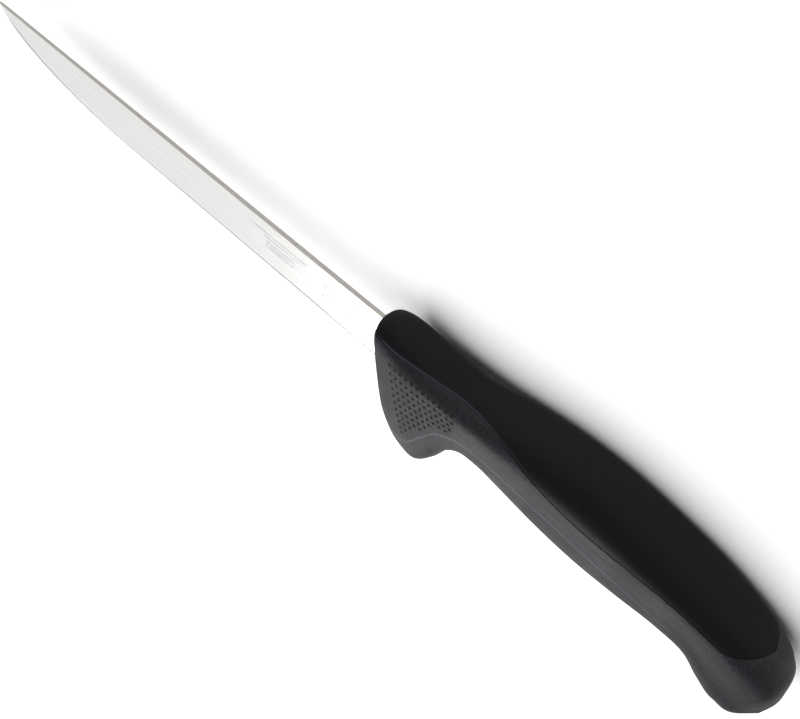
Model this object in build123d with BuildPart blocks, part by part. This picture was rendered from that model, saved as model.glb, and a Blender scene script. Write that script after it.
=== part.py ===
from build123d import *
from math import hypot, radians, tan
import os

# Boning knife lying on its side: +X to the tip, +Y to the cutting edge, +Z up.
# It is drawn with X = 0 where the spine leaves the handle and Y = 0 along the spine,
# then seated on the floor at the end.

os.makedirs("parts", exist_ok=True)

# ---- blade ----
blade_length = 152.0  # spine, from the handle to the tip
drawn_blade = 152.0  # the blade that the edge's stations were set out on
heel_width = 15.3  # spine to edge beside the handle
width_loss = 2.2  # narrowing of the blade by the tip, before the sweep
tip_sweep = 56.0  # length over which the edge curves up to the tip
tip_fullness = 0.65
stock = 1.6  # steel thickness at the spine beside the handle
tip_stock = 1.1
heel_grind = 0.44  # flank to flank at the heel, above the edge bevel
edge_land = 0.08  # what the edge bevels leave
bevel_angle = 14.0

# ---- tang, hidden in the handle ----
root_length = 9.0  # full blade width carried on inside the handle
tang_width = 9.6
tang_drop = 2.8  # spine line to tang
tang_hole = 5.0
tang_hole_pitch = 25.0
tang_end_gap = 5.8  # tang's end to the panel's first anchor
shoulder_round = 1.5

# ---- handle ----
handle_length = 133.4
handle_depth = 34.8  # spine line to the guard's lowest stations
handle_thickness = 22.0
drawn_length = 133.4
drawn_depth = 34.8
drawn_thickness = 22.0
back_fullness = 0.62  # how far the back stays flat before it turns to the sides
step_gap = 0.25  # ground flank left clear in front of the handle

# ---- soft back panel ----
grip_thickness = 2.0
grip_front = 0.8  # station where the panel starts
grip_turn = 14.0  # station where its outline starts to close round the butt
grip_end = 15.2  # station where it ends
spine_clearance = 0.2  # panel to the blade's spine, where the panel starts thin
thin_until = 3.0  # station where it has its full thickness
wall_reach = 4.0
anchor_radius = 2.2
anchor_foot_radius = 3.2
anchor_end = 7.5  # spine line to the start of the anchor's foot
anchor_foot = 2.0
anchor_x = (-104.0, -114.5)

# Stations along the handle, front face to butt. Each is a straight line across the side
# view from the back to the belly, with the half section drawn on it:
# back x, back y, belly x, belly y, half thickness, crown at, shoulder at, shoulder z,
# ridge at, ridge z, panel edge at, ridge sharpness ("at" is a share of the way from back
# to belly; sharpness runs from 0, smooth, to 1).
stations = (
    (0.0, -0.8, -8.5, 24.0, 4.8, 0.20, 0.42, 4.8, 0.82, 4.4, 0.085, 1.0),
    (-0.7, -2.0, -11.5, 28.4, 6.4, 0.18, 0.40, 6.3, 0.82, 5.5, 0.085, 1.0),
    (-2.8, -2.8, -15.5, 32.4, 7.5, 0.17, 0.38, 7.3, 0.82, 6.3, 0.080, 1.0),
    (-6.8, -2.7, -20.0, 34.8, 8.3, 0.16, 0.36, 8.0, 0.81, 6.8, 0.070, 1.0),
    (-12.0, -2.0, -24.5, 34.8, 8.9, 0.17, 0.36, 8.6, 0.75, 7.8, 0.055, 1.0),
    (-18.0, -1.5, -28.4, 29.6, 9.2, 0.18, 0.36, 8.95, 0.665, 8.4, 0.043, 1.0),
    (-24.5, -1.3, -31.6, 22.6, 9.4, 0.20, 0.37, 9.2, 0.606, 8.7, 0.036, 1.0),
    (-31.5, -1.6, -35.6, 18.6, 9.6, 0.24, 0.38, 9.35, 0.592, 8.6, 0.036, 1.0),
    (-39.5, -2.6, -41.5, 17.8, 10.0, 0.24, 0.36, 9.7, 0.577, 8.8, 0.055, 1.0),
    (-49.0, -4.2, -49.0, 19.0, 10.5, 0.24, 0.36, 10.15, 0.573, 9.1, 0.115, 1.0),
    (-60.0, -5.6, -60.0, 21.2, 10.8, 0.24, 0.38, 10.35, 0.572, 9.3, 0.225, 1.0),
    (-74.0, -6.0, -74.0, 22.6, 11.0, 0.24, 0.40, 10.45, 0.585, 9.4, 0.290, 1.0),
    (-90.0, -4.3, -88.0, 22.0, 10.9, 0.24, 0.40, 10.4, 0.62, 9.2, 0.250, 1.0),
    (-104.0, -2.0, -100.0, 20.6, 10.6, 0.24, 0.38, 10.15, 0.674, 8.8, 0.205, 0.6),
    (-115.5, 1.0, -108.5, 21.4, 10.0, 0.24, 0.34, 9.75, 0.67, 8.4, 0.185, 0.0),
    (-124.0, 3.6, -114.5, 26.4, 9.2, 0.22, 0.32, 9.05, 0.69, 7.9, 0.185, 0.0),
    (-130.0, 6.8, -120.5, 31.0, 7.6, 0.22, 0.32, 7.45, 0.7, 6.3, 0.185, 0.0),
    (-132.8, 11.5, -126.8, 31.4, 5.2, 0.24, 0.34, 5.1, 0.7, 4.3, 0.185, 0.0),
    (-133.4, 17.0, -131.4, 27.0, 2.2, 0.26, 0.36, 2.15, 0.7, 1.8, 0.185, 0.0),
)


def knots():
    """Distance along the handle's middle at each station."""
    found = [0.0]
    for a, b in zip(stations, stations[1:]):
        run_x = (b[0] + b[2] - a[0] - a[2]) / 2
        run_y = (b[1] + b[3] - a[1] - a[3]) / 2
        found.append(found[-1] + hypot(run_x, run_y))
    return found


along = knots()


def slope(index, column):
    """Rate of change of one column at a station, weighted by the spans either side."""
    last = len(stations) - 1
    low = max(index - 1, 0)
    high = min(index + 1, last)
    if index in (0, last):
        span = along[high] - along[low]
        return (stations[high][column] - stations[low][column]) / span
    before = along[index] - along[low]
    after = along[high] - along[index]
    rate_before = (stations[index][column] - stations[low][column]) / before
    rate_after = (stations[high][column] - stations[index][column]) / after
    return (after * rate_before + before * rate_after) / (before + after)


def station_at(place):
    """The handle's station at any place between stations, scaled to the real size."""
    index = min(int(place), len(stations) - 2)
    t = place - index
    span = along[index + 1] - along[index]
    row = []
    for column in range(len(stations[0])):
        start = stations[index][column]
        end = stations[index + 1][column]
        rise_in = slope(index, column) * span
        rise_out = slope(index + 1, column) * span
        value = (2 * t**3 - 3 * t**2 + 1) * start + (t**3 - 2 * t**2 + t) * rise_in
        value += (3 * t**2 - 2 * t**3) * end + (t**3 - t**2) * rise_out
        row.append(value)
    for column in (0, 2):
        row[column] *= handle_length / drawn_length
    for column in (1, 3):
        row[column] *= handle_depth / drawn_depth
    for column in (4, 7, 9):
        row[column] *= handle_thickness / drawn_thickness
    return row


def section_plane(row):
    """Plane across the handle: local x from back to belly, local y up."""
    run_x = row[2] - row[0]
    run_y = row[3] - row[1]
    return Plane(origin=(row[0], row[1], 0), x_dir=(run_x, run_y, 0), z_dir=(run_y, -run_x, 0))


def half_section(row):
    """Four cubic curves from the back point over the upper side to the belly point."""
    depth = hypot(row[2] - row[0], row[3] - row[1])
    top, shoulder, ridge, sharp = row[4], row[7], row[9], row[11]
    crown_at, shoulder_at, ridge_at = row[5] * depth, row[6] * depth, row[8] * depth
    fall = shoulder_at - crown_at
    rise = ridge_at - shoulder_at
    turn = depth - ridge_at
    lead = 0.35 * rise * (0.13 * ridge) / (0.45 * turn)  # swell of the flank beside the ridge
    back = (
        (0, 0),
        (0, back_fullness * top),
        ((1 - back_fullness) * crown_at, top),
        (crown_at, top),
    )
    upper = (
        (crown_at, top),
        (crown_at + 0.45 * fall, top),
        (shoulder_at - 0.30 * fall, shoulder + 0.35 * (top - shoulder)),
        (shoulder_at, shoulder),
    )
    flank = (
        (shoulder_at, shoulder),
        (shoulder_at + 0.25 * rise, shoulder + 0.15 * (ridge - shoulder)),
        (ridge_at - 0.35 * rise, ridge + 0.35 * sharp * lead + 0.1),
        (ridge_at, ridge),
    )
    belly = (
        (ridge_at, ridge),
        (ridge_at + 0.45 * turn, (1 - 0.13 * sharp) * ridge),
        (depth, 0.88 * ridge),
        (depth, 0),
    )
    return back, upper, flank, belly


def curve_point(curve, t):
    """Point and direction on a cubic curve."""
    a, b, c, d = curve
    keep = 1 - t
    here = []
    move = []
    for k in range(2):
        here.append(keep**3 * a[k] + 3 * keep**2 * t * b[k] + 3 * keep * t**2 * c[k] + t**3 * d[k])
        move.append(keep**2 * (b[k] - a[k]) + 2 * keep * t * (c[k] - b[k]) + t**2 * (d[k] - c[k]))
    size = hypot(move[0], move[1])
    return here, (move[0] / size, move[1] / size)


def panel_edge(place):
    """Where the soft panel's edge crosses a station, with the outward direction there."""
    row = station_at(place)
    depth = hypot(row[2] - row[0], row[3] - row[1])
    share = row[10]
    if place > grip_turn:
        q = (place - grip_turn) / (grip_end + 0.02 - grip_turn)
        share *= (1 - q * q) ** 2
    wanted = share * depth
    curves = half_section(row)
    curve = curves[0] if wanted < curves[0][3][0] else curves[1]
    low, high = 0.0, 1.0
    for _ in range(40):
        middle = (low + high) / 2
        if curve_point(curve, middle)[0][0] < wanted:
            low = middle
        else:
            high = middle
    here, along_it = curve_point(curve, low)
    return row, here, (-along_it[1], along_it[0])


# ---- handle envelope ----
with BuildPart() as envelope:
    for half_step in range(2 * len(stations) - 1):
        row = station_at(half_step / 2)
        curves = half_section(row)
        with BuildSketch(section_plane(row)):
            with BuildLine():
                for curve in curves:
                    Bezier(*curve)
                for curve in reversed(curves):
                    Bezier(*[(x, -y) for x, y in reversed(curve)])
            make_face()
    loft()

anchor_places = [x * handle_length / drawn_length for x in anchor_x]

# ---- room for the soft panel: a saddle with walls square to the surface ----
panel_places = [grip_front, 1.1, 1.5, 2.0, 2.5]
panel_places += [3.0 + 0.5 * k for k in range(22)]
panel_places += [14.25, 14.5, 14.7, 14.85, 15.0, 15.1, grip_end]
with BuildPart() as saddle:
    for place in panel_places:
        row, edge, out = panel_edge(place)
        thickness = grip_thickness
        if place < thin_until:
            thickness = min(grip_thickness, -row[1] - spine_clearance)
        inner = (edge[0] - thickness * out[0], edge[1] - thickness * out[1])
        outer = (edge[0] + wall_reach * out[0], edge[1] + wall_reach * out[1])
        cover = edge[1] + wall_reach + 1
        lean = max(inner[0] - thickness, 0.0)
        with BuildSketch(section_plane(row)):
            with BuildLine():
                Bezier(
                    (thickness, 0),
                    (thickness, back_fullness * inner[1]),
                    (inner[0] - back_fullness * lean + 0.3 * out[1], inner[1] + 0.2 * out[0]),
                    inner,
                )
                Line(inner, outer)
                Line(outer, (-8, cover))
                Line((-8, cover), (-8, -cover))
                Line((-8, -cover), (outer[0], -outer[1]))
                Line((outer[0], -outer[1]), (inner[0], -inner[1]))
                Bezier(
                    (inner[0], -inner[1]),
                    (inner[0] - back_fullness * lean + 0.3 * out[1], -inner[1] - 0.2 * out[0]),
                    (thickness, -back_fullness * inner[1]),
                    (thickness, 0),
                )
            make_face()
    loft()
    for x in anchor_places:
        stem = anchor_end + 2 * grip_thickness
        with Locations(Plane(origin=(x, anchor_end, 0), x_dir=(1, 0, 0), z_dir=(0, 1, 0))):
            Cylinder(anchor_radius, stem, align=(Align.CENTER, Align.CENTER, Align.MAX))
            Cylinder(anchor_foot_radius, anchor_foot, align=(Align.CENTER, Align.CENTER, Align.MIN))

# ---- blade ----
def edge_y(x):
    """Distance of the cutting edge from the spine line."""
    width = heel_width - width_loss * x / blade_length
    left = blade_length - x
    if left >= tip_sweep:
        return width
    return width * (1 - (1 - left / tip_sweep) ** 2) ** tip_fullness


def flank_z(x, y):
    """Half thickness of the ground blade, without the edge bevel."""
    distal = (stock - tip_stock) / 2 / blade_length
    grind = (stock - heel_grind) / 2 / heel_width
    return stock / 2 - distal * x - grind * y


flank_normal = (
    (stock - tip_stock) / 2 / blade_length,
    (stock - heel_grind) / 2 / heel_width,
    1,
)
edge_left = (1.0, 3.0, 6.0, 10.0, 15.0, 21.0, 28.0, 36.0, 46.0, 56.0, 75.0, 100.0, 130.0)
edge_places = [blade_length - left * blade_length / drawn_blade for left in edge_left]
edge_places += [0.0, -root_length]
with BuildPart() as blank:
    with BuildSketch():
        with BuildLine():
            Line((-root_length, 0), (blade_length, 0))
            Spline(*[(blade_length, 0)] + [(x, edge_y(x)) for x in edge_places])
            Line((-root_length, edge_y(-root_length)), (-root_length, 0))
        make_face()
    extrude(amount=stock / 2, both=True)

with BuildPart() as bevel:
    steep = tan(radians(bevel_angle))
    for x in [blade_length - 0.02] + edge_places:
        y_edge = edge_y(x)
        reach = flank_z(x, y_edge) + 0.6
        y_in = y_edge - (reach - edge_land / 2) / steep
        with BuildSketch(Plane(origin=(x, 0, 0), x_dir=(0, 1, 0), z_dir=(1, 0, 0))):
            with BuildLine():
                Polyline(
                    (y_in, reach),
                    (y_edge + 1, edge_land / 2 - steep),
                    (y_edge + 1, reach + 0.5),
                    (y_in, reach + 0.5),
                    close=True,
                )
            make_face()
    loft()

# The grind stops just in front of the handle; behind that the steel keeps its full stock.
front_row = station_at(0)
face_run = (front_row[2] - front_row[0], front_row[3] - front_row[1])
front = Plane(origin=(step_gap, -0.8, 0), z_dir=(face_run[1], -face_run[0], 0))
top_flank = Plane(origin=(0, 0, stock / 2), z_dir=flank_normal)
low_flank = Plane(origin=(0, 0, -stock / 2), z_dir=(flank_normal[0], flank_normal[1], -1))
with BuildPart() as ground:
    add(blank.part)
    split(bisect_by=top_flank, keep=Keep.BOTTOM)
    split(bisect_by=low_flank, keep=Keep.BOTTOM)
    add(bevel.part, mode=Mode.SUBTRACT)
    add(bevel.part.mirror(Plane.XY), mode=Mode.SUBTRACT)
    split(bisect_by=front, keep=Keep.TOP)

tang_length = -anchor_places[0] - anchor_foot_radius - tang_end_gap
tang_middle = tang_drop + tang_width / 2
hole_places = [16 - tang_length + k * tang_hole_pitch for k in range(3)]
with BuildPart() as blade:
    add(blank.part)
    split(bisect_by=front, keep=Keep.BOTTOM)
    with BuildSketch():
        with Locations((-tang_length / 2 - 3, tang_middle)):
            RectangleRounded(tang_length - 6, tang_width, shoulder_round)
        with Locations([(x, tang_middle) for x in hole_places]):
            Circle(tang_hole / 2, mode=Mode.SUBTRACT)
    extrude(amount=stock / 2, both=True)
    add(ground.part)

# ---- the two handle mouldings ----
with BuildPart() as soft_grip:
    add(envelope.part)
    add(saddle.part, mode=Mode.INTERSECT)

with BuildPart() as handle_core:
    add(envelope.part)
    add(saddle.part, mode=Mode.SUBTRACT)
    add(blade.part, mode=Mode.SUBTRACT)

# ---- seat the knife on the floor, centred ----
steel_box = blade.part.bounding_box()
handle_box = envelope.part.bounding_box()
seat = Location(
    (
        -(steel_box.max.X + handle_box.min.X) / 2,
        -(handle_box.min.Y + handle_box.max.Y) / 2,
        -handle_box.min.Z,
    )
)

placed_blade = blade.part.moved(seat)
placed_blade.label = "blade"
export_step(placed_blade, "parts/blade.step")

placed_core = handle_core.part.moved(seat)
placed_core.label = "handle_core"
export_step(placed_core, "parts/handle_core.step")

placed_grip = soft_grip.part.moved(seat)
placed_grip.label = "soft_grip"
export_step(placed_grip, "parts/soft_grip.step")
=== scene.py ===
import bmesh
import bpy
import numpy as np
from bpy.props import FloatProperty, FloatVectorProperty, PointerProperty
from bpy.types import Operator, Panel, PropertyGroup
from mathutils import Matrix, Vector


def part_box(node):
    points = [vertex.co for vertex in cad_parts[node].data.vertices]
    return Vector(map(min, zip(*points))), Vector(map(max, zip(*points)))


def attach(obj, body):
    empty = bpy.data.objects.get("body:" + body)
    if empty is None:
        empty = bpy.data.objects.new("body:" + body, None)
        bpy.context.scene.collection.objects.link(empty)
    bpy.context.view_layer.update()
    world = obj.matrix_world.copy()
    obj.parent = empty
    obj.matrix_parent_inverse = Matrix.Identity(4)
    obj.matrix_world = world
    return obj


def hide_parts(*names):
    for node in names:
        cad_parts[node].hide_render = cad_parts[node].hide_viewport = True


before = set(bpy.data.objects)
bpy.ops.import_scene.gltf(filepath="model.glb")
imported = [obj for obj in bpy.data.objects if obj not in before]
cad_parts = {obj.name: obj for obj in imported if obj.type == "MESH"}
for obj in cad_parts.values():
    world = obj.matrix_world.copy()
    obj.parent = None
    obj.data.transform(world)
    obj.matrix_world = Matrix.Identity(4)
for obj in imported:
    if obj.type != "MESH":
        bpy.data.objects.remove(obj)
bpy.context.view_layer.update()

bl_info = {
    "name": "Boning knife",
    "version": (1, 0, 0),
    "blender": (4, 5, 0),
    "location": "3D View > Sidebar > Knife",
    "description": "Handle mouldings, blade finish and studio for a boning knife",
    "category": "Mesh",
}

MM = 0.001

# Stations along the handle in millimetres, front face to butt. The drawing has x = 0 where
# the spine leaves the handle and y = 0 along the spine. Each row is a line across the side
# view: back x, back y, belly x, belly y, half thickness, crown at, shoulder at, shoulder z,
# ridge at, ridge z, panel edge at, ridge sharpness. "At" is a share of the way from back to
# belly; sharpness runs from 0, smooth, to 1.
STATIONS = np.array(
    (
        (0.0, -0.8, -8.5, 24.0, 4.8, 0.20, 0.42, 4.8, 0.82, 4.4, 0.085, 1.0),
        (-0.7, -2.0, -11.5, 28.4, 6.4, 0.18, 0.40, 6.3, 0.82, 5.5, 0.085, 1.0),
        (-2.8, -2.8, -15.5, 32.4, 7.5, 0.17, 0.38, 7.3, 0.82, 6.3, 0.080, 1.0),
        (-6.8, -2.7, -20.0, 34.8, 8.3, 0.16, 0.36, 8.0, 0.81, 6.8, 0.070, 1.0),
        (-12.0, -2.0, -24.5, 34.8, 8.9, 0.17, 0.36, 8.6, 0.75, 7.8, 0.055, 1.0),
        (-18.0, -1.5, -28.4, 29.6, 9.2, 0.18, 0.36, 8.95, 0.665, 8.4, 0.043, 1.0),
        (-24.5, -1.3, -31.6, 22.6, 9.4, 0.20, 0.37, 9.2, 0.606, 8.7, 0.036, 1.0),
        (-31.5, -1.6, -35.6, 18.6, 9.6, 0.24, 0.38, 9.35, 0.592, 8.6, 0.036, 1.0),
        (-39.5, -2.6, -41.5, 17.8, 10.0, 0.24, 0.36, 9.7, 0.577, 8.8, 0.055, 1.0),
        (-49.0, -4.2, -49.0, 19.0, 10.5, 0.24, 0.36, 10.15, 0.573, 9.1, 0.115, 1.0),
        (-60.0, -5.6, -60.0, 21.2, 10.8, 0.24, 0.38, 10.35, 0.572, 9.3, 0.225, 1.0),
        (-74.0, -6.0, -74.0, 22.6, 11.0, 0.24, 0.40, 10.45, 0.585, 9.4, 0.290, 1.0),
        (-90.0, -4.3, -88.0, 22.0, 10.9, 0.24, 0.40, 10.4, 0.62, 9.2, 0.250, 1.0),
        (-104.0, -2.0, -100.0, 20.6, 10.6, 0.24, 0.38, 10.15, 0.674, 8.8, 0.205, 0.6),
        (-115.5, 1.0, -108.5, 21.4, 10.0, 0.24, 0.34, 9.75, 0.67, 8.4, 0.185, 0.0),
        (-124.0, 3.6, -114.5, 26.4, 9.2, 0.22, 0.32, 9.05, 0.69, 7.9, 0.185, 0.0),
        (-130.0, 6.8, -120.5, 31.0, 7.6, 0.22, 0.32, 7.45, 0.7, 6.3, 0.185, 0.0),
        (-132.8, 11.5, -126.8, 31.4, 5.2, 0.24, 0.34, 5.1, 0.7, 4.3, 0.185, 0.0),
        (-133.4, 17.0, -131.4, 27.0, 2.2, 0.26, 0.36, 2.15, 0.7, 1.8, 0.185, 0.0),
    )
)
PANEL_FRONT = 0.8  # stations where the soft panel starts, starts to close, and ends
PANEL_TURN = 14.0
PANEL_END = 15.2
FINE_END = 7.4  # station where the finger rest's fine grid gives way to a coarser one
LAST = len(STATIONS) - 1
SPINE_LENGTH = 152.0
CORE_COLUMNS = (8, 128, 24)  # cells under the panel, edge to ridge, ridge to belly
PANEL_CELLS = 26
BUMP_GRID = (12, 11)  # most bumps in a row, and rows
HIGHLIGHT_WIDTH = 0.28  # half width of the painted highlight along a ridge or a lip

# The camera, with its place and target in the drawing's millimetres and its roll in degrees.
CAMERA_PLACE = np.array((-120.1, -293.2, 226.8))
CAMERA_TARGET = np.array((4.24, 8.46, 0.0))
CAMERA_ROLL = -127.2
CAMERA_LENS = 67.95
CAMERA_SHIFT = (0.0416, -0.0398)


class KnifeSizes(PropertyGroup):
    panel_depth: FloatProperty(
        name="Panel depth",
        description="Thickness of the soft panel in its recess",
        default=1.9 * MM,
        unit="LENGTH",
    )
    panel_roll: FloatProperty(
        name="Panel edge",
        description="Radius of the soft panel's outer edge",
        default=0.42 * MM,
        unit="LENGTH",
    )
    core_roll: FloatProperty(
        name="Body edge",
        description="Radius of the hard body's edge beside the panel",
        default=0.30 * MM,
        unit="LENGTH",
    )
    parting_line: FloatProperty(
        name="Parting line",
        description="Depth of the fine mould line along the back and the belly",
        default=0.06 * MM,
        unit="LENGTH",
    )
    bump_pitch: FloatProperty(
        name="Bump pitch",
        description="Distance between the finger rest's bumps along a row",
        default=1.93 * MM,
        unit="LENGTH",
    )
    bump_width: FloatProperty(
        name="Bump width",
        description="Width of each bump at its foot",
        default=1.2 * MM,
        unit="LENGTH",
    )
    bump_height: FloatProperty(
        name="Bump height",
        description="Height of each bump",
        default=0.40 * MM,
        unit="LENGTH",
    )
    bump_margin: FloatProperty(
        name="Bump margin",
        description="Least distance between a bump and the guard's ridge",
        default=2.0 * MM,
        unit="LENGTH",
    )


class KnifeFinishes(PropertyGroup):
    core_colour: FloatVectorProperty(
        name="Body colour",
        description="Hard grained plastic of the handle body",
        default=(0.0088, 0.0086, 0.0108),
        subtype="COLOR",
    )
    panel_colour: FloatVectorProperty(
        name="Panel colour",
        description="Soft plastic of the back panel",
        default=(0.0050, 0.0045, 0.0056),
        subtype="COLOR",
    )
    steel_colour: FloatVectorProperty(
        name="Steel colour",
        description="Ground stainless steel",
        default=(0.78, 0.78, 0.77),
        subtype="COLOR",
    )


class StudioSettings(PropertyGroup):
    floor_size: FloatProperty(
        name="Floor size",
        description="Side of the square floor",
        default=8.0,
        unit="LENGTH",
    )
    card_power: FloatProperty(
        name="Card light",
        description="Power of the bright card that the blade reflects",
        default=0.30,
        unit="POWER",
    )
    strip_power: FloatProperty(
        name="Strip light",
        description="Power of the narrow-beamed light beyond the cutting edge",
        default=0.12,
        unit="POWER",
    )
    top_power: FloatProperty(
        name="Top light",
        description="Power of the wide soft light overhead",
        default=60.0,
        unit="POWER",
    )
    surround: FloatProperty(
        name="Surround",
        description="Strength of the even light from all round",
        default=0.2,
    )


# ---- the handle's shape ----
def station_rows(places):
    """Station values at any places between stations.

    A cubic Hermite over the distance along the handle's middle line. The slope at a
    station is the mean of the rates either side, each weighted by the other's span.
    """
    middle = (STATIONS[:, 0:2] + STATIONS[:, 2:4]) / 2
    span = np.hypot(*np.diff(middle, axis=0).T)[:, None]
    rate = np.diff(STATIONS, axis=0) / span
    inner = (span[1:] * rate[:-1] + span[:-1] * rate[1:]) / (span[1:] + span[:-1])
    slope = np.vstack((rate[:1], inner, rate[-1:]))
    k = np.minimum(places.astype(int), LAST - 1)
    t = (places - k)[:, None]
    ends = (2 * t**3 - 3 * t**2 + 1) * STATIONS[k] + (3 * t**2 - 2 * t**3) * STATIONS[k + 1]
    turns = (t**3 - 2 * t**2 + t) * slope[k] + (t**3 - t**2) * slope[k + 1]
    return ends + span[k] * turns


def half_section(rows, w):
    """Points of the half section, as (distance from the back, height), for w from 0 to 4.

    Four cubic Bezier spans end to end: back to crown, crown to shoulder, shoulder to
    ridge, and ridge round to the belly. The whole part of w picks the span.
    """
    depth = np.hypot(rows[:, 2] - rows[:, 0], rows[:, 3] - rows[:, 1])
    top, shoulder, ridge = rows[:, 4], rows[:, 7], rows[:, 9]
    crown_at, shoulder_at, ridge_at = rows[:, 5] * depth, rows[:, 6] * depth, rows[:, 8] * depth
    fall, rise, turn = shoulder_at - crown_at, ridge_at - shoulder_at, depth - ridge_at
    lead = 0.35 * rise * (0.13 * ridge) / (0.45 * turn)
    none = 0 * depth
    spans = np.array(
        (
            ((none, none), (none, 0.62 * top), (0.38 * crown_at, top), (crown_at, top)),
            (
                (crown_at, top),
                (crown_at + 0.45 * fall, top),
                (shoulder_at - 0.30 * fall, shoulder + 0.35 * (top - shoulder)),
                (shoulder_at, shoulder),
            ),
            (
                (shoulder_at, shoulder),
                (shoulder_at + 0.25 * rise, shoulder + 0.15 * (ridge - shoulder)),
                (ridge_at - 0.35 * rise, ridge + 0.35 * rows[:, 11] * lead + 0.1),
                (ridge_at, ridge),
            ),
            (
                (ridge_at, ridge),
                (ridge_at + 0.45 * turn, (1 - 0.13 * rows[:, 11]) * ridge),
                (depth, 0.88 * ridge),
                (depth, none),
            ),
        )
    )
    k = np.clip(w.astype(int), 0, 3)
    t = w - k
    corners = spans[k, :, :, np.arange(len(rows))[:, None]]
    weights = np.stack(((1 - t) ** 3, 3 * t * (1 - t) ** 2, 3 * t * t * (1 - t), t**3), -1)
    return (corners * weights[..., None]).sum(-2)


def read_rows(at, known, values):
    """Linear interpolation row by row, each row shifted clear of the one before it."""
    shift = np.arange(len(known))[:, None] * (known.max() * 2 + 1)
    found = np.interp((at + shift).ravel(), (known + shift).ravel(), values.ravel())
    return found.reshape(at.shape)


def smooth(x):
    """Smooth step from 0 to 1 as x goes from 0 to 1."""
    x = np.clip(x, 0, 1)
    return x * x * (3 - 2 * x)


class HandleRows:
    """The handle's sections at given places, measured along their outline from the back."""

    def __init__(self, places):
        self.rows = station_rows(places)
        self.w = np.broadcast_to(np.linspace(0, 4, 641), (len(places), 641))
        line = half_section(self.rows, self.w)
        step = np.hypot(*np.moveaxis(np.diff(line, axis=1), -1, 0))
        self.run = np.concatenate((np.zeros((len(places), 1)), np.cumsum(step, 1)), 1)
        self.ridge = self.run[:, 480:481]
        self.belly = self.run[:, -1:]
        depth = np.hypot(self.rows[:, 2] - self.rows[:, 0], self.rows[:, 3] - self.rows[:, 1])
        q = np.clip((places - PANEL_TURN) / (PANEL_END + 0.02 - PANEL_TURN), 0, 1)
        share = self.rows[:, 10] * (1 - q * q) ** 2
        share = share + 0.15 * smooth((places - PANEL_END - 0.02) / 1.5)
        self.edge = read_rows((share * depth)[:, None], line[..., 0], self.run)

    def points(self, along, depth):
        """Points at a distance along each outline, pushed in by depth across the outline."""
        w = read_rows(along, self.run, self.w)
        here = half_section(self.rows, w)
        tangent = half_section(self.rows, np.minimum(w + 0.004, 4))
        tangent = tangent - half_section(self.rows, np.maximum(w - 0.004, 0))
        tangent /= np.linalg.norm(tangent, axis=-1, keepdims=True)
        a = here[..., 0] + depth * tangent[..., 1]
        z = here[..., 1] - depth * tangent[..., 0]
        z[w < 1e-9] = 0
        z[w > 4 - 1e-9] = 0
        back, belly = self.rows[:, None, 0:2], self.rows[:, None, 2:4]
        across = belly - back
        across = across / np.linalg.norm(across, axis=-1, keepdims=True)
        return np.concatenate((back + across * a[..., None], z[..., None]), -1)

    def back_run(self):
        """Distance along the back line from the first place."""
        step = np.hypot(*np.diff(self.rows[:, 0:2], axis=0).T)
        return np.concatenate(((0,), np.cumsum(step)))[:, None]


def seated(points):
    """Drawing millimetres to the shared frame: the blade's spine and tip fix the place."""
    low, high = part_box("blade")
    seat = np.array((high.x - SPINE_LENGTH * MM, low.y, (low.z + high.z) / 2))
    return points * MM + seat


def bump_centres(margin, pitch):
    """Centres of the finger rest's bumps in the side view.

    Rows run back from the front edge, each one set half a pitch further back and a little
    steeper than the row above. A bump is kept if it is clear of the ridge by the margin.
    """
    i, j = np.meshgrid(np.arange(BUMP_GRID[0]), np.arange(BUMP_GRID[1]), indexing="ij")
    start = -9.95 - 0.93 * j
    x = start - pitch * i
    y = 3.65 + 2.55 * j - 0.055 * j**2 + (0.058 + 0.042 * j) * (x - start)
    centres = np.stack((x.ravel(), y.ravel()), -1)
    handle = HandleRows(np.linspace(2.5, 8, 90))
    ridge = handle.points(handle.ridge, 0.0)[:, 0, :2]
    gap = np.linalg.norm(centres[:, None] - ridge[None], axis=-1)
    near = ridge[gap.argmin(1)]
    inside = centres[:, 1] - 0.35 * centres[:, 0] < near[:, 1] - 0.35 * near[:, 0]
    inside |= centres[:, 0] > near[:, 0]
    keep = (gap.min(1) > margin) & inside & (x.ravel() > -32.6)
    return centres[keep]


def raise_bumps(points, sizes):
    """Round bumps on a grid of points: height x (1 - (distance / radius) squared) squared.

    The rise goes out along the surface normal, the cross product of the grid's steps.
    """
    centres = bump_centres(sizes.bump_margin / MM, sizes.bump_pitch / MM)
    radius = sizes.bump_width / MM / 2
    normal = np.cross(np.gradient(points, axis=1), np.gradient(points, axis=0))
    normal /= np.maximum(np.linalg.norm(normal, axis=-1, keepdims=True), 1e-12)
    zone = (points[..., 0] > -35) & (points[..., 0] < -8)
    flat = points[zone]
    gap = np.linalg.norm(flat[:, None, :2] - centres[None], axis=-1)
    tops = flat[gap.argmin(0), 2]
    gap = np.sqrt(gap**2 + (flat[:, None, 2] - tops[None]) ** 2).min(1)
    rise = sizes.bump_height / MM * np.clip(1 - (gap / radius) ** 2, 0, 1) ** 2
    raised = points.copy()
    raised[zone] = flat + rise[:, None] * normal[zone]
    return raised


# ---- meshes ----
def both_sides(half):
    """A closed ring of points from the upper half: the half, then its mirror image back."""
    lower = half[:, -2:0:-1].copy()
    lower[..., 2] *= -1
    return np.concatenate((half, lower), 1)


def ring_faces(first, rows, columns):
    """Quads between successive rings of a grid whose vertices start at index first."""
    index = first + np.arange(rows * columns).reshape(rows, columns)
    beside = np.roll(index, -1, axis=1)
    quads = np.stack((index[:-1], index[1:], beside[1:], beside[:-1]), -1)
    return quads.reshape(-1, 4).tolist()


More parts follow.
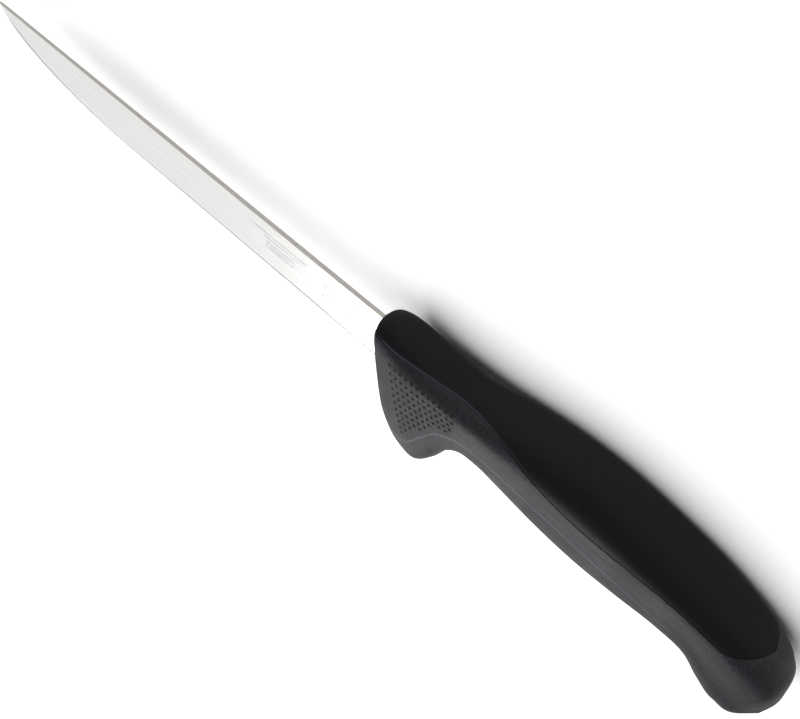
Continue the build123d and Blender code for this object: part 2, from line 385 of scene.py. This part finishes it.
def joining_faces(fine, coarse, kept):
    """Faces from a fine ring to a coarse one that has only its kept columns."""
    count = len(fine)
    following = np.roll(kept, -1)
    faces = []
    for k, (start, end) in enumerate(zip(kept, following)):
        steps = (end - start) % count
        run = [int(fine[(start + s) % count]) for s in range(steps, -1, -1)]
        faces.append(run + [int(coarse[k]), int(coarse[(k + 1) % len(kept)])])
    return faces


def solid_object(name, points, faces, painted_highlight, sharp=50):
    """A smooth closed mesh object at the origin, its doubles merged and faces outwards.

    The highlight share for each point is kept as an attribute: 1 where a highlight is painted into
    the colour.
    """
    mesh = bpy.data.meshes.new(name)
    mesh.from_pydata(seated(points).tolist(), [], faces)
    mesh.attributes.new("painted_highlight", "FLOAT", "POINT").data.foreach_set("value", painted_highlight.ravel())
    work = bmesh.new()
    work.from_mesh(mesh)
    bmesh.ops.remove_doubles(work, verts=work.verts, dist=2e-6)
    bmesh.ops.dissolve_degenerate(work, edges=work.edges, dist=1e-6)
    bmesh.ops.recalc_face_normals(work, faces=work.faces)
    if work.calc_volume(signed=True) < 0:
        bmesh.ops.reverse_faces(work, faces=work.faces)
    work.to_mesh(mesh)
    work.free()
    mesh.shade_smooth()
    mesh.set_sharp_from_angle(angle=np.radians(sharp))
    made = bpy.data.objects.new(name, mesh)
    bpy.context.scene.collection.objects.link(made)
    return made


def core_grid(places, under, sizes):
    """Half the hard body's skin over some places; under says whether the panel lies on it.

    Columns run from the back to the belly. Those under the panel are sunk by the panel's
    depth, a wall rises at the panel's edge, a quarter circle rounds its corner, and the
    rest lie on the envelope, with one column on the ridge.
    """
    handle = HandleRows(places)
    below, flank, turn = CORE_COLUMNS
    roll = sizes.core_roll / MM * under
    sunk = (sizes.panel_depth / MM + 0.1) * under
    angle = np.radians((0, 30, 60, 90))
    floor_run = handle.edge * np.linspace(0, 1, below + 1)
    roll_run = handle.edge + roll * (1 - np.cos(angle))
    flank_share = np.linspace(0, 1, flank + 1)[1:]
    flank_run = roll_run[:, -1:] + (handle.ridge - roll_run[:, -1:]) * flank_share
    share = np.linspace(0, 1, turn + 1)[1:]
    share = np.append(share[:-1], (0.985, 1))
    turn_run = handle.ridge + (handle.belly - handle.ridge) * (0.35 * share**2 + 0.65 * share)
    along = np.concatenate((floor_run, roll_run, flank_run, turn_run), 1)
    depth = np.zeros_like(along)
    depth[:, : below + 1] = sunk
    depth[:, below + 1 : below + 5] = roll * (1 - np.sin(angle))
    depth[:, -1] += sizes.parting_line / MM
    gap = np.abs(along - handle.ridge)
    # Painted highlight: a narrow band of lighter colour along the ridge, stronger where the ridge
    # is sharper.
    painted_highlight = np.exp(-((gap / HIGHLIGHT_WIDTH) ** 2)) * handle.rows[:, 11:12]
    return handle.points(along, depth), painted_highlight


def core_object(sizes):
    """The hard body: a fine grid over the guard, a coarser one behind, both ends closed."""
    front = np.linspace(0, PANEL_FRONT, 12)
    finger = np.append(np.linspace(PANEL_FRONT, 3, 22)[:-1], np.linspace(3, FINE_END, 138))
    fine_places = np.concatenate((front, finger))
    fine_under = np.concatenate((front * 0, finger * 0 + 1))[:, None]
    closing_panel = np.linspace(PANEL_TURN, PANEL_END, 34)
    rest = np.append(np.linspace(FINE_END, PANEL_TURN, 88)[1:-1], closing_panel)
    butt = np.linspace(PANEL_END, LAST, 40)
    coarse_places = np.concatenate((rest, butt))
    coarse_under = np.concatenate((rest * 0 + 1, butt * 0))[:, None]
    fine_half, fine_highlight = core_grid(fine_places, fine_under, sizes)
    coarse_half, coarse_highlight = core_grid(coarse_places, coarse_under, sizes)
    fine_half = raise_bumps(fine_half, sizes)
    fine_half = np.concatenate((fine_half, fine_highlight[..., None]), -1)
    coarse_half = np.concatenate((coarse_half, coarse_highlight[..., None]), -1)
    below, flank, turn = CORE_COLUMNS
    start = below + 4
    every_other = np.arange(start, start + flank + 1, 2)
    past_ridge = start + flank + np.arange(1, turn + 2)
    half_kept = np.concatenate((np.arange(start), every_other, past_ridge))
    closing = np.linspace(0, 1, 7)[:-1, None, None] * (0, 0, 1, 0) + (1, 1, 0, 1)
    fine = both_sides(np.concatenate((fine_half[:1] * closing, fine_half)))
    coarse = both_sides(coarse_half[:, half_kept])
    coarse = np.concatenate((coarse, coarse[-1:] * closing[::-1]))
    columns = fine.shape[1]
    kept = np.concatenate((half_kept, columns - half_kept[-2:0:-1]))
    first = fine.shape[0] * columns
    faces = ring_faces(0, fine.shape[0], columns)
    faces += ring_faces(first, coarse.shape[0], coarse.shape[1])
    faces += joining_faces(
        np.arange(first - columns, first), np.arange(first, first + coarse.shape[1]), kept
    )
    points = np.concatenate((fine.reshape(-1, 4), coarse.reshape(-1, 4)))
    return solid_object("hard_handle_body", points[:, :3], faces, points[:, 3])


def panel_object(sizes):
    """The soft panel: a closed shell whose skin lies on the envelope and fills the recess.

    Near every edge the skin drops by r - sqrt(r2 - a2 - b2), where a and b are how far a
    point has gone past r from the side edge and from the nearer end.
    """
    places = np.concatenate(
        (
            PANEL_FRONT + np.array((0, 0.03, 0.09, 0.18)),
            np.linspace(PANEL_FRONT + 0.26, 3, 16)[:-1],
            np.linspace(3, FINE_END, 60)[:-1],
            np.linspace(FINE_END, PANEL_TURN, 96)[:-1],
            PANEL_TURN + (PANEL_END - PANEL_TURN) * np.linspace(0, 1, 44) ** 0.8,
        )
    )
    handle = HandleRows(places)
    roll = sizes.panel_roll / MM
    edge = np.maximum(handle.edge - 0.03, 0.0)
    side_roll = np.minimum(roll, edge * 0.9)
    angle = np.radians(np.linspace(0, 90, 6))
    flat = (edge - side_roll) * np.append(0, np.append(0.02, np.linspace(0, 1, PANEL_CELLS)[1:]))
    rounded = edge - side_roll + side_roll * np.sin(angle)[1:]
    outer = np.concatenate((flat, rounded), 1)
    back = handle.back_run()
    to_end = np.minimum(back, back[-1] - back)
    past_side = np.clip(side_roll - (edge - outer), 0, None)
    past_end = np.clip(roll - to_end, 0, None) * np.minimum(1, side_roll / roll)
    drop = side_roll - np.sqrt(np.clip(side_roll**2 - past_side**2 - past_end**2, 0, None))
    drop[:, 0] += sizes.parting_line / MM
    # Painted highlight: a narrow band of lighter colour just inside the panel's rounded edge, over
    # the front part of the handle only.
    lip = np.exp(-(((edge - outer - 0.5 * roll) / HIGHLIGHT_WIDTH) ** 2))
    lip = lip * (1 - smooth((places[:, None] - 7) / 3)) * smooth((places[:, None] - 1.5) / 1.5)
    lip = np.concatenate((lip, 0 * lip), 1)
    skin = handle.points(outer, drop)
    under = handle.points(outer, np.zeros_like(outer) + sizes.panel_depth / MM)
    half = np.concatenate((skin, under[:, ::-1]), 1)
    rows, columns = half.shape[:2]
    middle = columns // 2
    mirrored = half * (1, 1, -1)
    points = np.concatenate((half.reshape(-1, 3), mirrored.reshape(-1, 3)))
    index = np.arange(rows * columns).reshape(rows, columns)
    faces = []
    for first in (0, rows * columns):
        cell = first + index
        quads = np.stack((cell[:-1, :-1], cell[1:, :-1], cell[1:, 1:], cell[:-1, 1:]), -1)
        faces += quads.reshape(-1, 4).tolist()
        for end in (cell[0], cell[-1]):
            other = end[::-1]
            cap = (end[: middle - 1], end[1:middle], other[1:middle], other[: middle - 1])
            faces += np.stack(cap, -1).tolist()
    return solid_object("soft_back_panel", points, faces, np.concatenate((lip, lip)))


# ---- materials ----
class Value:
    """A number in a material's node tree; arithmetic on it adds Math nodes."""

    def __init__(self, finish, socket):
        self.finish = finish
        self.socket = socket

    def math(self, operation, *values, clamp=False):
        settings = {"operation": operation, "use_clamp": clamp}
        return self.finish.node("ShaderNodeMath", settings, dict(enumerate(values)))

    def __add__(self, other):
        return self.math("ADD", self, other)

    __radd__ = __add__

    def __sub__(self, other):
        return self.math("SUBTRACT", self, other)

    def __rsub__(self, other):
        return self.math("SUBTRACT", other, self)

    def __mul__(self, other):
        return self.math("MULTIPLY", self, other)

    __rmul__ = __mul__

    def __abs__(self):
        return self.math("ABSOLUTE", self)

    def between(self, low, high):
        """0 at low, 1 at high, straight between and clamped."""
        return self.math("MULTIPLY_ADD", self, 1 / (high - low), -low / (high - low), clamp=True)


class Finish:
    """A material made of nodes, with its Principled shader."""

    def __init__(self, name):
        self.material = bpy.data.materials.new(name)
        self.material.use_nodes = True
        self.tree = self.material.node_tree
        self.tree.nodes.clear()
        self.shader = self.tree.nodes.new("ShaderNodeBsdfPrincipled")
        output = self.tree.nodes.new("ShaderNodeOutputMaterial")
        self.tree.links.new(self.shader.outputs[0], output.inputs[0])

    def node(self, kind, settings, sockets, out=0):
        """A new node: its settings first, then its sockets' values or links."""
        made = self.tree.nodes.new(kind)
        for key, value in settings.items():
            setattr(made, key, value)
        self.fill(made, sockets)
        return Value(self, made.outputs[out])

    def fill(self, node, sockets):
        for key, value in sockets.items():
            if isinstance(value, Value):
                self.tree.links.new(value.socket, node.inputs[key])
            else:
                node.inputs[key].default_value = value

    def shade(self, sockets):
        self.fill(self.shader, sockets)
        return self.material

    def place(self, scale=(1, 1, 1)):
        """Object coordinates, scaled along each axis."""
        here = self.node("ShaderNodeTexCoord", {}, {}, out="Object")
        return self.node("ShaderNodeMapping", {}, {"Vector": here, "Scale": scale})

    def noise(self, scale, detail=3.0, rough=0.5, stretch=(1, 1, 1)):
        sockets = {"Vector": self.place(stretch), "Scale": scale}
        sockets |= {"Detail": detail, "Roughness": rough}
        return self.node("ShaderNodeTexNoise", {}, sockets, out="Fac")

    def mix(self, factor, a, b):
        """Colour a where the factor is 0, b where it is 1."""
        made = self.tree.nodes.new("ShaderNodeMix")
        made.data_type = "RGBA"
        self.fill(made, {0: factor, 6: a, 7: b})
        return Value(self, made.outputs[2])

    def bump(self, height, distance, strength=1.0, normal=None):
        sockets = {"Height": height, "Distance": distance, "Strength": strength}
        if normal is not None:
            sockets["Normal"] = normal
        return self.node("ShaderNodeBump", {}, sockets)

    def attribute(self, name):
        return self.node("ShaderNodeAttribute", {"attribute_name": name}, {}, out="Fac")

    def parts(self, vector):
        """The three components of a vector."""
        split = self.node("ShaderNodeSeparateXYZ", {}, {"Vector": vector}).socket.node
        return [Value(self, split.outputs[k]) for k in range(3)]


def tone(colour, factor):
    return tuple(min(c * factor, 1) for c in colour) + (1.0,)


def grained_plastic(colour):
    """Hard black plastic with a fine spark-eroded grain, lightened along the ridge by a painted
    highlight and a little smoother there.
    """
    made = Finish("grained_plastic")
    colour = tuple(colour)
    painted_highlight = made.attribute("painted_highlight")
    grain = made.noise(1500, detail=3.0, rough=0.65)
    speckle = made.noise(1900, detail=2.0, rough=0.6)
    cloud = made.noise(38, detail=3.0)
    worn = made.noise(95, detail=4.0, rough=0.6)
    shade = made.mix(speckle.between(0.36, 0.66), tone(colour, 0.45), tone(colour, 1.9))
    shade = made.mix((cloud * 0.5), shade, tone(colour, 1.12))
    # Painted highlight: the colour is lightened 4.5 times along the ridge, and the surface is a
    # little smoother there.
    shade = made.mix(painted_highlight * 0.8, shade, tone(colour, 4.5))
    rough = 0.55 + 0.10 * grain + 0.12 * cloud - 0.07 * worn.between(0.45, 0.75) - 0.1 * painted_highlight
    normal = made.bump(grain, 0.00026, 0.9)
    return made.shade(
        {"Base Color": shade, "Roughness": rough, "Normal": normal, "Specular IOR Level": 0.36}
    )


def soft_plastic(colour):
    """Deep black soft plastic, smooth and matt, with a faint bloom from handling."""
    made = Finish("soft_plastic")
    colour = tuple(colour)
    bloom = made.noise(46, detail=4.0, rough=0.55)
    fine = made.noise(2400, detail=2.0)
    scuff = made.noise(620, detail=3.0, rough=0.6, stretch=(0.12, 1, 1)).between(0.62, 0.74)
    painted_highlight = made.attribute("painted_highlight")
    shade = made.mix(bloom, tone(colour, 0.8), tone(colour, 1.35))
    # Painted highlight: the colour is lightened 9 times along the panel's edge near the front.
    shade = made.mix(painted_highlight * 0.9, shade, tone(colour, 9.0))
    rough = 0.50 + 0.14 * bloom + 0.05 * fine + 0.06 * scuff
    normal = made.bump(fine, 0.00002, 0.5)
    return made.shade(
        {"Base Color": shade, "Roughness": rough, "Normal": normal, "Specular IOR Level": 0.12}
    )


# Plain bars etched on the upper flank: middle from the handle and from the spine, length
# along the blade and width across it, in millimetres, and 1 for an outline.
ETCHED_BARS = (
    (37.0, 3.6, 20.0, 0.28, 0),
    (36.0, 4.9, 13.0, 0.28, 0),
    (36.0, 7.4, 10.0, 2.4, 1),
    (36.0, 7.1, 7.6, 0.24, 0),
    (36.0, 7.8, 7.6, 0.24, 0),
    (17.5, 5.0, 5.6, 0.55, 0),
    (17.5, 7.0, 5.6, 2.0, 1),
    (17.5, 9.2, 5.6, 0.55, 0),
    (10.0, 4.2, 0.9, 1.1, 0),
    (10.0, 6.0, 0.9, 1.1, 0),
    (10.0, 7.8, 0.9, 1.1, 0),
    (10.0, 9.6, 0.9, 1.1, 0),
    (2.6, 7.4, 2.8, 2.8, 1),
)
ETCHED_LINE = 0.13 * MM  # half width of an outline's line
ETCHED_BLUR = 0.05 * MM  # how far a bar's border fades either side


def etched_marks(made):
    """1 on the plain etched bars and outlines, 0 between them."""
    along_blade, across_blade = made.parts(made.place())[:2]
    start_x, start_y = seated(np.zeros(3)).tolist()[:2]
    total = 0.0
    for from_handle, from_spine, run, width, outline in ETCHED_BARS:
        off_x = abs(along_blade - (from_handle * MM + start_x))
        off_y = abs(across_blade - (from_spine * MM + start_y))
        past_x = off_x - run / 2 * MM
        past_y = off_y - width / 2 * MM
        past = past_x.math("MAXIMUM", past_x, past_y)
        if outline:
            past = abs(past + ETCHED_LINE) - ETCHED_LINE
        total = total + (1 - past.between(-ETCHED_BLUR, ETCHED_BLUR))
    return total.between(0, 1)


def ground_steel(colour):
    """Satin stainless steel: fine grinding lines along the blade, a brighter edge bevel with
    lines across it, and a spine ground across its width, its colour darkened by painted
    shade for the dimmer surroundings it reflects."""
    made = Finish("ground_steel")
    colour = tuple(colour)
    normal = made.node("ShaderNodeTexCoord", {}, {}, out="Normal")
    side_z = made.parts(normal)[2]
    upright = abs(side_z)
    spine = 1 - upright.between(0.35, 0.75)
    bevel = (1 - upright.between(0.975, 0.99)) * upright.between(0.8, 0.9)
    lines = made.noise(1.0, detail=4.0, rough=0.65, stretch=(26, 5200, 5200))
    broad = made.noise(1.0, detail=2.0, stretch=(9, 700, 700))
    cross = made.noise(1.0, detail=3.0, rough=0.6, stretch=(4200, 160, 160))
    cloud = made.noise(60, detail=3.0)
    scratch = made.noise(1.0, detail=1.0, stretch=(60, 2600, 2600)).between(0.70, 0.76)
    shade = made.mix(lines.between(0.3, 0.7), tone(colour, 0.93), tone(colour, 1.05))
    # Painted shade: the spine's colour is darkened to a grey-brown, standing in for the dimmer
    # surroundings it reflects.
    shade = made.mix(spine, shade, tone((0.50, 0.475, 0.44), 0.72))
    shade = made.mix(bevel, shade, tone((0.92, 0.92, 0.92), 1.0))
    rough = 0.13 + 0.08 * lines + 0.04 * cloud + 0.04 * broad + 0.08 * scratch
    rough = rough + 0.22 * spine - 0.05 * bevel
    etched = etched_marks(made) * side_z.between(0.4, 0.6)
    shade = made.mix(etched * 0.75, shade, tone((0.20, 0.20, 0.205), 1.0))
    rough = rough + 0.2 * etched
    flat = made.bump(lines, 0.000010, 0.45)
    across = made.bump(cross * (spine + bevel), 0.000012, 0.5, normal=flat)
    return made.shade({"Base Color": shade, "Metallic": 1.0, "Roughness": rough, "Normal": across})


def studio_floor():
    """A plain pale floor with a faint unevenness of tone."""
    made = Finish("pale_floor")
    cloud = made.noise(3.0, detail=3.0)
    shade = made.mix(cloud, (0.90, 0.90, 0.90, 1), (0.93, 0.93, 0.93, 1))
    return made.shade({"Base Color": shade, "Roughness": 0.75 + 0.1 * cloud})


# ---- operators ----
class KNIFE_OT_blade(Operator):
    """Finish the blade in ground steel"""

    bl_idname = "knife.blade"
    bl_label = "Blade"

    def execute(self, context):
        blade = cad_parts["blade"]
        blade.data.materials.clear()
        blade.data.materials.append(ground_steel(context.scene.knife_finishes.steel_colour))
        return {"FINISHED"}


class KNIFE_OT_handle_body(Operator):
    """Build the hard handle body with its finger rest and panel recess"""

    bl_idname = "knife.handle_body"
    bl_label = "Hard handle body"

    def execute(self, context):
        made = core_object(context.scene.knife_sizes)
        made.data.materials.append(grained_plastic(context.scene.knife_finishes.core_colour))
        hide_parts("handle_core")
        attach(made, "root")
        return {"FINISHED"}


class KNIFE_OT_back_panel(Operator):
    """Build the soft panel that lies along the back of the handle"""

    bl_idname = "knife.back_panel"
    bl_label = "Soft back panel"

    def execute(self, context):
        made = panel_object(context.scene.knife_sizes)
        made.data.materials.append(soft_plastic(context.scene.knife_finishes.panel_colour))
        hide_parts("soft_grip")
        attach(made, "root")
        return {"FINISHED"}


def soft_light(name, place, target, size, power, spread=180):
    """A large rectangular light, its face turned to the target; spread is in degrees."""
    light = bpy.data.lights.new(name, "AREA")
    light.shape = "RECTANGLE"
    light.size, light.size_y = size
    light.energy = power
    light.spread = np.radians(spread)
    lamp = bpy.data.objects.new(name, light)
    lamp.matrix_world = aimed(np.array(place), np.array(target))
    lamp.visible_camera = False
    bpy.context.scene.collection.objects.link(lamp)
    return lamp


def aimed(place, target, roll=0.0):
    """A placing matrix that points -Z at the target, then rolls about that line in degrees."""
    away = (place - target) / np.linalg.norm(place - target)
    level = np.cross((0, 0, 1), away)
    level /= np.linalg.norm(level)
    upright = np.cross(away, level)
    turn = np.radians(roll)
    right = np.cos(turn) * level + np.sin(turn) * upright
    up = np.cos(turn) * upright - np.sin(turn) * level
    found = Matrix(np.column_stack((right, up, away)).tolist()).to_4x4()
    found.translation = place
    return found


class KNIFE_OT_studio(Operator):
    """Set out the pale floor, the soft lights and the camera"""

    bl_idname = "knife.studio"
    bl_label = "Studio"

    def execute(self, context):
        scene = context.scene
        studio = scene.knife_studio
        half = studio.floor_size / 2
        mesh = bpy.data.meshes.new("floor")
        corners = [(-half, -half, 0), (half, -half, 0), (half, half, 0), (-half, half, 0)]
        mesh.from_pydata(corners, [], [(0, 1, 2, 3)])
        mesh.materials.append(studio_floor())
        floor = bpy.data.objects.new("floor", mesh)
        scene.collection.objects.link(floor)

        world = bpy.data.worlds.new("surround")
        world.use_nodes = True
        glow = world.node_tree.nodes["Background"]
        glow.inputs["Color"].default_value = (1.0, 1.0, 1.0, 1.0)
        glow.inputs["Strength"].default_value = studio.surround
        scene.world = world
        steel = (0.067, -0.008, 0.011)
        soft_light("card_light", (0.245, 0.330, 0.268), steel, (0.42, 0.26), studio.card_power)
        guard = (-0.045, 0.0, 0.018)
        soft_light("strip_light", (0.02, 0.34, 0.23), guard, (0.20, 0.26), studio.strip_power, 44)
        top = soft_light("top_light", (0.1, 0.2, 1.4), (0, 0, 0), (3.2, 3.2), studio.top_power)
        top.visible_glossy = False
        scene.view_settings.view_transform = "Standard"

        camera = bpy.data.cameras.new("camera")
        camera.sensor_width = 36.0
        camera.lens = CAMERA_LENS
        camera.shift_x, camera.shift_y = CAMERA_SHIFT
        camera.clip_start = 0.01
        viewer = bpy.data.objects.new("camera", camera)
        viewer.matrix_world = aimed(seated(CAMERA_PLACE), seated(CAMERA_TARGET), CAMERA_ROLL)
        scene.collection.objects.link(viewer)
        scene.camera = viewer
        return {"FINISHED"}


class KNIFE_PT_parts(Panel):
    bl_label = "Boning knife"
    bl_idname = "KNIFE_PT_parts"
    bl_space_type = "VIEW_3D"
    bl_region_type = "UI"
    bl_category = "Knife"

    def draw(self, context):
        for group in ("knife_sizes", "knife_finishes", "knife_studio"):
            settings = getattr(context.scene, group)
            box = self.layout.box()
            for key in settings.bl_rna.properties.keys():
                if key not in ("rna_type", "name"):
                    box.prop(settings, key)
        for operator in BUILD_ORDER:
            self.layout.operator(operator.bl_idname)


BUILD_ORDER = (KNIFE_OT_blade, KNIFE_OT_handle_body, KNIFE_OT_back_panel, KNIFE_OT_studio)
CLASSES = (KnifeSizes, KnifeFinishes, StudioSettings, *BUILD_ORDER, KNIFE_PT_parts)


def register():
    for kind in CLASSES:
        bpy.utils.register_class(kind)
    bpy.types.Scene.knife_sizes = PointerProperty(type=KnifeSizes)
    bpy.types.Scene.knife_finishes = PointerProperty(type=KnifeFinishes)
    bpy.types.Scene.knife_studio = PointerProperty(type=StudioSettings)


def unregister():
    del bpy.types.Scene.knife_studio
    del bpy.types.Scene.knife_finishes
    del bpy.types.Scene.knife_sizes
    for kind in reversed(CLASSES):
        bpy.utils.unregister_class(kind)


def main():
    register()
    bpy.ops.knife.blade()
    bpy.ops.knife.handle_body()
    bpy.ops.knife.back_panel()
    bpy.ops.knife.studio()


if __name__ == "__main__":
    main()
